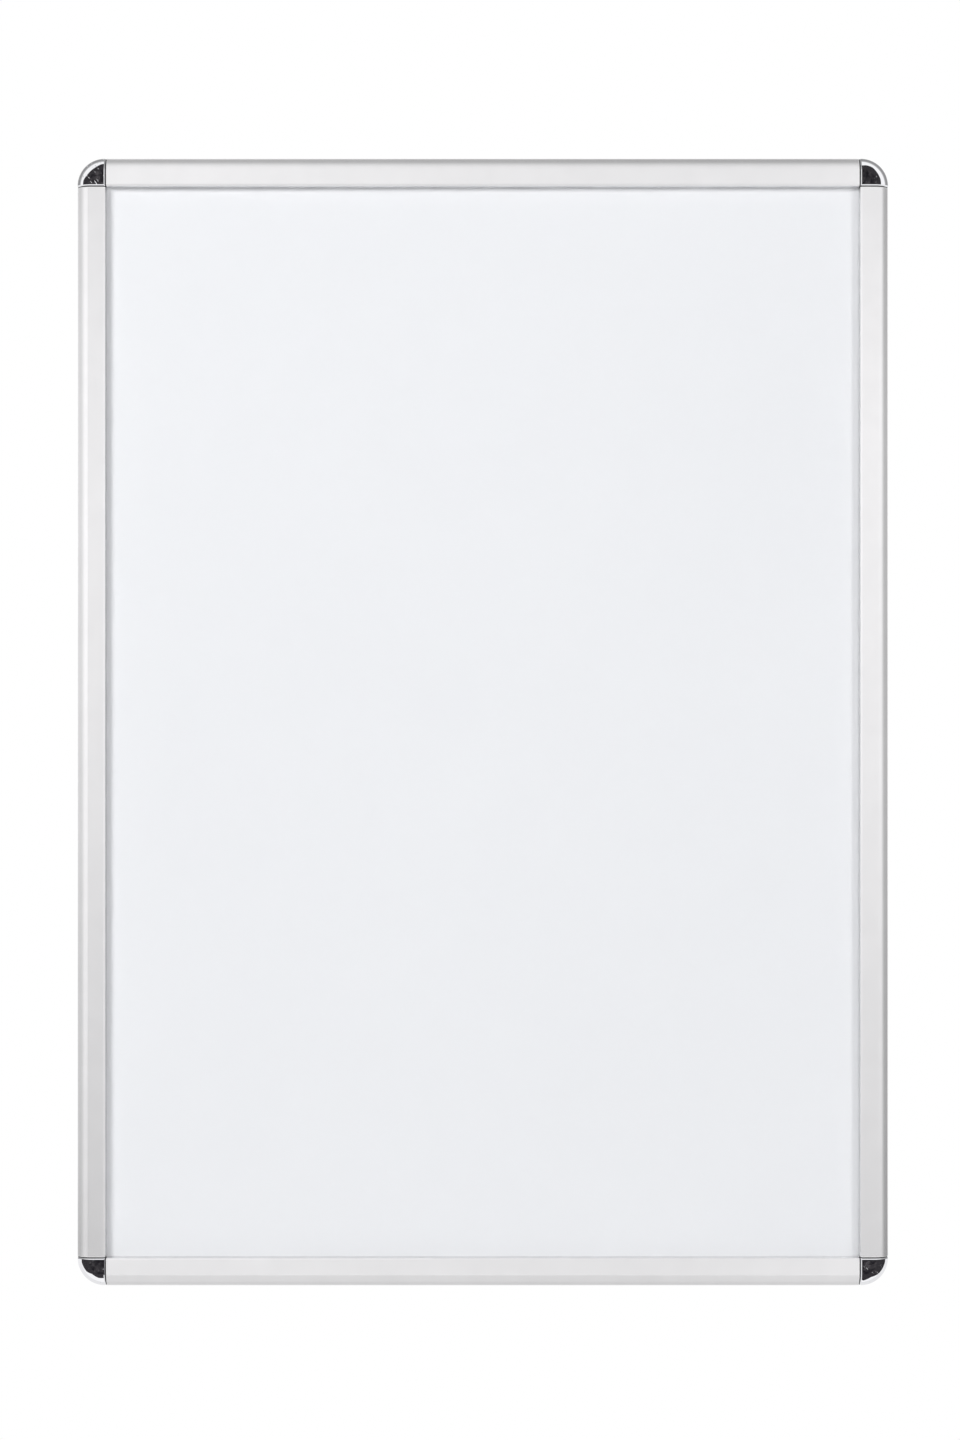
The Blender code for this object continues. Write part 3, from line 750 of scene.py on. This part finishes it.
LOW_LEFT_ACROSS = [(-1.0, 0.0), (-0.75, 0.0), (-0.45, 1.0), (-0.1, 1.0), (0.1, 0.0), (1.0, 0.0)]
LOW_LEFT_UP = [(-1.0, 1.0), (-0.14, 1.0), (-0.02, 0.0), (1.0, 0.0)]
CORNER_DEPTH = 0.30
CORNER_ACROSS = [(-1.0, 1.0), (-0.50, 1.0), (-0.28, 0.0), (0.28, 0.0), (0.50, 1.0), (1.0, 1.0)]
CORNER_UP = [(-1.0, 1.0), (-0.40, 1.0), (-0.22, 0.0), (0.22, 0.0), (0.40, 1.0), (1.0, 1.0)]

# What the mirror-bright caps see instead: white walls, a dim back wall and a pale floor behind.
MIRROR_BACK = [(-1.0, 1.0), (-0.3, 1.0), (-0.1, 0.36), (0.3, 0.28), (1.0, 0.5)]
MIRROR_BELOW = [(-1.0, 0.84), (-0.5, 0.88), (-0.12, 0.92), (0.1, 0.0), (1.0, 0.0)]

# The dark room in front of the mirror-bright caps: its outline as a card at one distance.
ROOM_Y = -1.8
ROOM_DARK = (0.013, 0.012, 0.015)
ROOM_LIGHT = (0.105, 0.098, 0.102)
ROOM_SPARKLE = 6.0
ROOM_CLUTTER = 45.0
ROOM_CLUTTER_RANGE = (0.42, 0.78)
ROOM_SMALL_LIGHTS = 150.0
ROOM_SMALL_LIGHT_RANGE = (0.58, 0.74)
ROOM_OUTLINE = [
    (-5.0, -2.2), (-3.1, -2.9), (-1.7, -2.25), (-1.25, -2.7), (-0.8, -2.5), (0.8, -2.95),
    (1.15, -4.1), (1.75, -2.9), (4.25, -4.4), (11.4, -4.0), (11.4, -2.5), (2.3, 1.0),
    (2.4, 1.6), (2.2, 2.15), (2.0, 3.0), (1.35, 3.05), (0.85, 2.7), (-0.85, 3.6),
    (-1.15, 3.5), (-1.5, 2.55), (-2.05, 2.05), (-3.15, 1.75), (-3.1, 1.0),
]


def plane(name, points, material):
    mesh = bpy.data.meshes.new(name)
    mesh.from_pydata(points, [], [list(range(len(points)))])
    mesh.materials.append(material)
    thing = bpy.data.objects.new(name, mesh)
    bpy.context.scene.collection.objects.link(thing)
    return thing


def dark_room():
    """A dark card that only mirror-sharp reflections see."""
    material = bpy.data.materials.new("dark_room")
    material.use_nodes = True
    tree = material.node_tree
    tree.nodes.clear()
    path = tree.nodes.new("ShaderNodeLightPath")
    clear = tree.nodes.new("ShaderNodeBsdfTransparent")
    dark = tree.nodes.new("ShaderNodeEmission")
    patches = noise(tree, even(ROOM_CLUTTER), 3.0, 0.6)
    clutter = spread(tree, patches, 0.0, 1.0, *ROOM_CLUTTER_RANGE)
    tree.links.new(tint(tree, clutter, ROOM_DARK, ROOM_LIGHT), dark.inputs["Color"])
    small_lights = noise(tree, even(ROOM_SMALL_LIGHTS), 3.0, 0.6)
    sparkle = spread(tree, small_lights, 1.0, ROOM_SPARKLE, *ROOM_SMALL_LIGHT_RANGE)
    tree.links.new(sparkle, dark.inputs["Strength"])
    mix = tree.nodes.new("ShaderNodeMixShader")
    output = tree.nodes.new("ShaderNodeOutputMaterial")
    tree.links.new(path.outputs["Is Singular Ray"], mix.inputs["Fac"])
    tree.links.new(clear.outputs["BSDF"], mix.inputs[1])
    tree.links.new(dark.outputs["Emission"], mix.inputs[2])
    tree.links.new(mix.outputs["Shader"], output.inputs["Surface"])
    card = plane("dark_room", [(x, ROOM_Y, z) for x, z in ROOM_OUTLINE], material)
    card.visible_camera = False
    card.visible_diffuse = False
    card.visible_transmission = False
    card.visible_shadow = False


def floor():
    material, tree, shader = new_material("pale_floor")
    cloud = noise(tree, even(FLOOR_CLOUDS), 3.0)
    tree.links.new(tint(tree, cloud, *FLOOR_GREYS), shader.inputs["Base Color"])
    shader.inputs["Roughness"].default_value = FLOOR_ROUGHNESS
    path = tree.nodes.new("ShaderNodeLightPath")
    lift = spread(tree, path.outputs["Is Camera Ray"], 0.0, FLOOR_LIFT, 0.0, 1.0)
    shader.inputs["Emission Color"].default_value = (1.0, 1.0, 1.0, 1.0)
    tree.links.new(lift, shader.inputs["Emission Strength"])
    rim = [polar((0.0, 0.0), FLOOR_RADIUS, 360.0 * i / FLOOR_SIDES) for i in range(FLOOR_SIDES)]
    disc = plane("floor", [(x, y, FLOOR_HEIGHT) for x, y in rim], material)
    disc.visible_glossy = False


def lamp(name, place, power, size):
    """A soft box that lights the frame; what the metal mirrors of the studio is in the surroundings."""
    data = bpy.data.lights.new(name, "AREA")
    data.shape = "RECTANGLE"
    data.size, data.size_y = size
    data.energy = power
    thing = bpy.data.objects.new(name, data)
    thing.location = place
    thing.rotation_euler = (-Vector(place)).to_track_quat("-Z", "Y").to_euler()
    thing.visible_camera = False
    thing.visible_glossy = False
    thing.visible_transmission = False
    bpy.context.scene.collection.objects.link(thing)


def math_node(tree, operation, a, b):
    node = tree.nodes.new("ShaderNodeMath")
    node.operation = operation
    for socket, value in zip(node.inputs, (a, b)):
        if isinstance(value, float):
            socket.default_value = value
        else:
            tree.links.new(value, socket)
    return node.outputs["Value"]


def tone_curve(tree, part, stops):
    """A level that changes along one part of a direction, which runs from -1 to 1."""
    place = spread(tree, part, 0.0, 1.0, -1.0, 1.0)
    ramp = tree.nodes.new("ShaderNodeValToRGB")
    elements = ramp.color_ramp.elements
    while len(elements) < len(stops):
        elements.new(0.5)
    for element, (position, level) in zip(elements, stops):
        element.position = (position + 1.0) / 2.0
        element.color = (*even(level / TONE_LIMIT), 1.0)
    tree.links.new(place, ramp.inputs["Fac"])
    return math_node(tree, "MULTIPLY", ramp.outputs["Color"], TONE_LIMIT)


def surroundings():
    """White behind the frame, soft light all round, and the studio's walls in what metal reflects."""
    world = bpy.data.worlds.new("white_surroundings")
    world.use_nodes = True
    tree = world.node_tree
    tree.nodes.clear()
    path = tree.nodes.new("ShaderNodeLightPath")
    coordinates = tree.nodes.new("ShaderNodeTexCoord")
    parts = tree.nodes.new("ShaderNodeSeparateXYZ")
    tree.links.new(coordinates.outputs["Generated"], parts.inputs["Vector"])
    tone = tone_curve(tree, parts.outputs["X"], TONE_ACROSS)
    tone = math_node(tree, "MULTIPLY", tone, tone_curve(tree, parts.outputs["Z"], TONE_UP))
    tone = math_node(tree, "MULTIPLY", tone, tone_curve(tree, parts.outputs["Y"], TONE_BACK))
    left = tone_curve(tree, parts.outputs["X"], LOW_LEFT_ACROSS)
    low = tone_curve(tree, parts.outputs["Z"], LOW_LEFT_UP)
    low_left = math_node(tree, "MULTIPLY", left, low)
    shade = math_node(tree, "MULTIPLY", low_left, LOW_LEFT_DEPTH)
    tone = math_node(tree, "SUBTRACT", tone, shade)
    across = tone_curve(tree, parts.outputs["X"], CORNER_ACROSS)
    up = tone_curve(tree, parts.outputs["Z"], CORNER_UP)
    corner = math_node(tree, "MULTIPLY", across, up)
    corner = math_node(tree, "MULTIPLY", corner, CORNER_DEPTH)
    tone = math_node(tree, "MULTIPLY", tone, math_node(tree, "SUBTRACT", 1.0, corner))
    back = tone_curve(tree, parts.outputs["Y"], MIRROR_BACK)
    back = math_node(tree, "MAXIMUM", back, tone_curve(tree, parts.outputs["Z"], MIRROR_BELOW))
    change = math_node(tree, "SUBTRACT", back, tone)
    change = math_node(tree, "MULTIPLY", change, path.outputs["Is Singular Ray"])
    tone = math_node(tree, "ADD", tone, change)
    tone = math_node(tree, "SUBTRACT", tone, 1.0)
    glossy = path.outputs["Is Glossy Ray"]
    level = math_node(tree, "ADD", math_node(tree, "MULTIPLY", glossy, tone), 1.0)
    seen = math_node(tree, "MAXIMUM", path.outputs["Is Camera Ray"], glossy)
    seen = math_node(tree, "MAXIMUM", seen, path.outputs["Is Transmission Ray"])
    white = tree.nodes.new("ShaderNodeBackground")
    white.inputs["Color"].default_value = (1.0, 1.0, 1.0, 1.0)
    tree.links.new(level, white.inputs["Strength"])
    soft = tree.nodes.new("ShaderNodeBackground")
    soft.inputs["Color"].default_value = AMBIENT_COLOUR
    soft.inputs["Strength"].default_value = AMBIENT
    mix = tree.nodes.new("ShaderNodeMixShader")
    output = tree.nodes.new("ShaderNodeOutputWorld")
    tree.links.new(seen, mix.inputs["Fac"])
    tree.links.new(soft.outputs["Background"], mix.inputs[1])
    tree.links.new(white.outputs["Background"], mix.inputs[2])
    tree.links.new(mix.outputs["Shader"], output.inputs["Surface"])
    bpy.context.scene.world = world


floor()
surroundings()
dark_room()
lamp("key_left", KEY_PLACE, KEY_POWER, KEY_SIZE)
lamp("fill_right", FILL_PLACE, FILL_POWER, FILL_SIZE)
lamp("front_soft", FRONT_PLACE, FRONT_POWER, FRONT_SIZE)
lamp("back_soft", BACK_PLACE, BACK_POWER, BACK_SIZE)


def camera():
    data = bpy.data.cameras.new("camera")
    data.sensor_width = SENSOR
    data.lens = PIXELS_PER_METRE * CAMERA_DISTANCE * SENSOR / PIXELS_HIGH
    thing = bpy.data.objects.new("camera", data)
    right = FRAME_RIGHT_OF_CENTRE / PIXELS_PER_METRE
    below = FRAME_BELOW_CENTRE / PIXELS_PER_METRE
    thing.location = (-right, -CAMERA_DISTANCE, below)
    thing.rotation_euler = (math.radians(90.0), 0.0, 0.0)
    bpy.context.scene.collection.objects.link(thing)
    bpy.context.scene.camera = thing


camera()
bpy.context.scene.view_settings.view_transform = "Standard"
